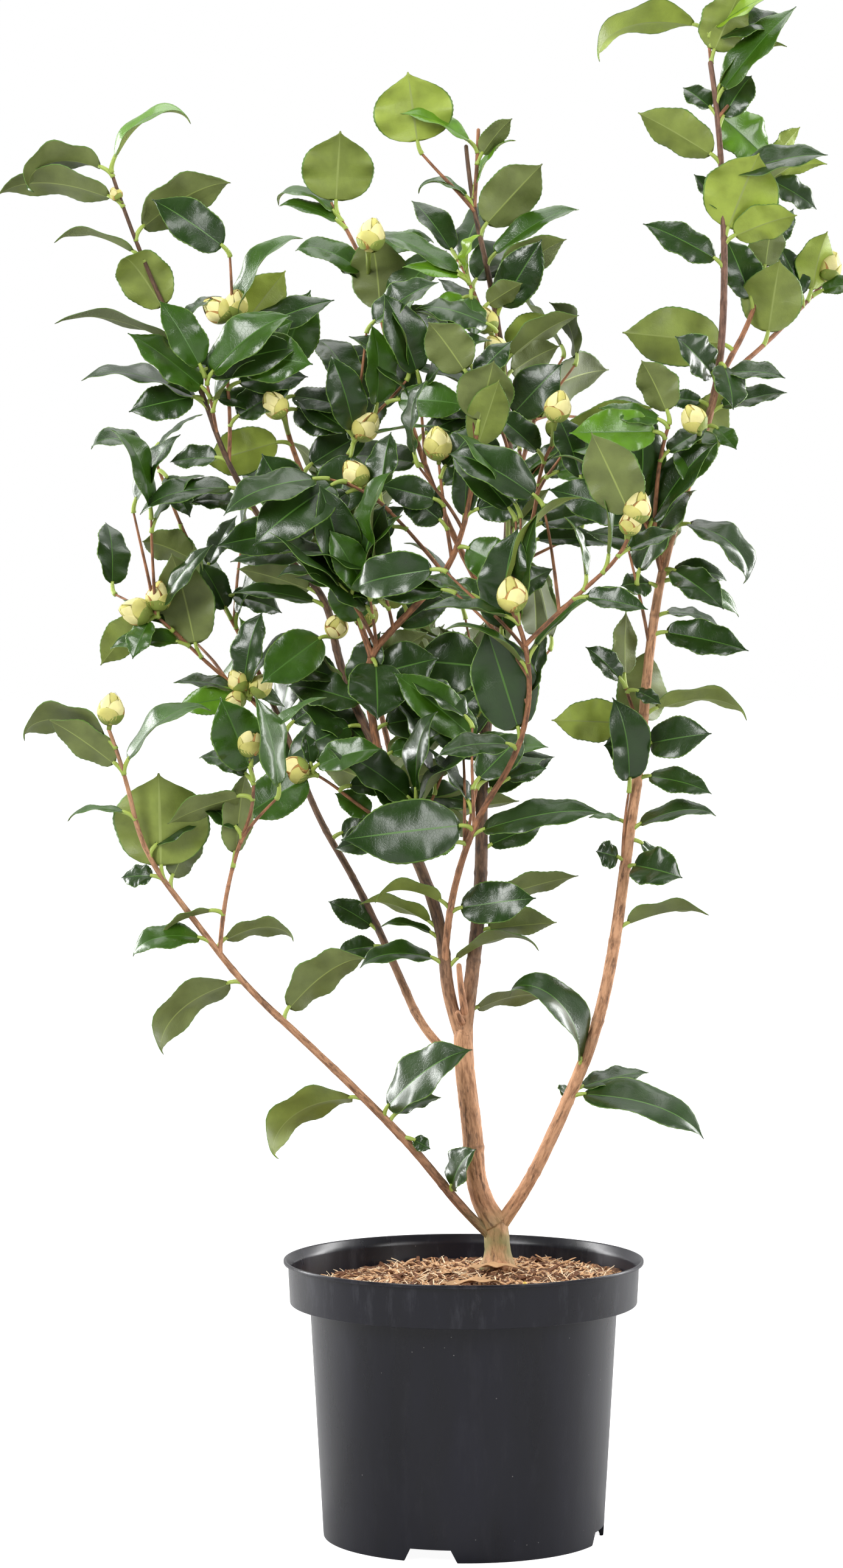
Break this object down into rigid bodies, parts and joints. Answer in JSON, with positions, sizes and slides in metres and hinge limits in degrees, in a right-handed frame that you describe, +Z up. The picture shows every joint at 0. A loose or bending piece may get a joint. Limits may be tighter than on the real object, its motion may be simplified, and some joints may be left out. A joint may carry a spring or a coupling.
{
  "type": "potted camellia shrub",
  "caption": "Young evergreen camellia shrub with several upright stems and open leafy boughs, in a round black nursery pot of compost.",
  "frame": {"origin": "centre of the pot's flat underside", "axes": "+Z up along the shrub, +X to the right across its broadest side, -Y out of its front"},
  "size_m": [0.6557, 0.42, 1.1864],
  "materials": {
    "pot": "moulded black polypropylene with a fine satin grain",
    "compost": "dry coir and bark chips",
    "bark": "fissured light tan bark",
    "young_bark": "smooth red-brown young bark",
    "foliage": "glossy dark green leaves"
  },
  "bodies": {
    "root": {"pot": "pot", "compost": "compost", "trunk": "bark", "stem_centre": "bark", "stem_right": "bark", "bough_left_low": "young_bark", "stem_right_centre": "bark", "stem_left_centre": "bark", "bough_left_thin": "young_bark", "bough_left_fork": "young_bark", "stem_upper_left": "young_bark", "bough_centre": "young_bark", "bough_left_upper": "young_bark", "bough_front": "young_bark", "bough_front_fork": "young_bark", "bough_centre_upper": "young_bark", "bough_right_side": "young_bark", "bough_right_fork": "young_bark", "bough_left_low_shoot": "young_bark", "bough_back_low": "young_bark", "bough_back_left": "young_bark", "bough_back_upper": "young_bark", "mass_right_top": "foliage", "mass_right_upper": "foliage", "mass_right_middle": "foliage", "mass_right_low": "foliage", "mass_upper_left_tip": "foliage", "mass_left_upper": "foliage", "mass_left_middle": "foliage", "mass_left_side": "foliage", "mass_left_low_tip": "foliage", "mass_left_low_shoot": "foliage", "mass_left_inner": "foliage", "mass_centre_upper": "foliage", "mass_centre_top": "foliage", "mass_centre_high": "foliage", "mass_centre_front": "foliage", "mass_centre_left": "foliage", "mass_centre_right": "foliage", "mass_front_low": "foliage", "mass_front_fork": "foliage", "mass_centre_low": "foliage", "mass_low_sprigs": "foliage", "mass_back_low": "foliage", "mass_back_left": "foliage", "mass_back_upper": "foliage"}
  },
  "joints": []
}
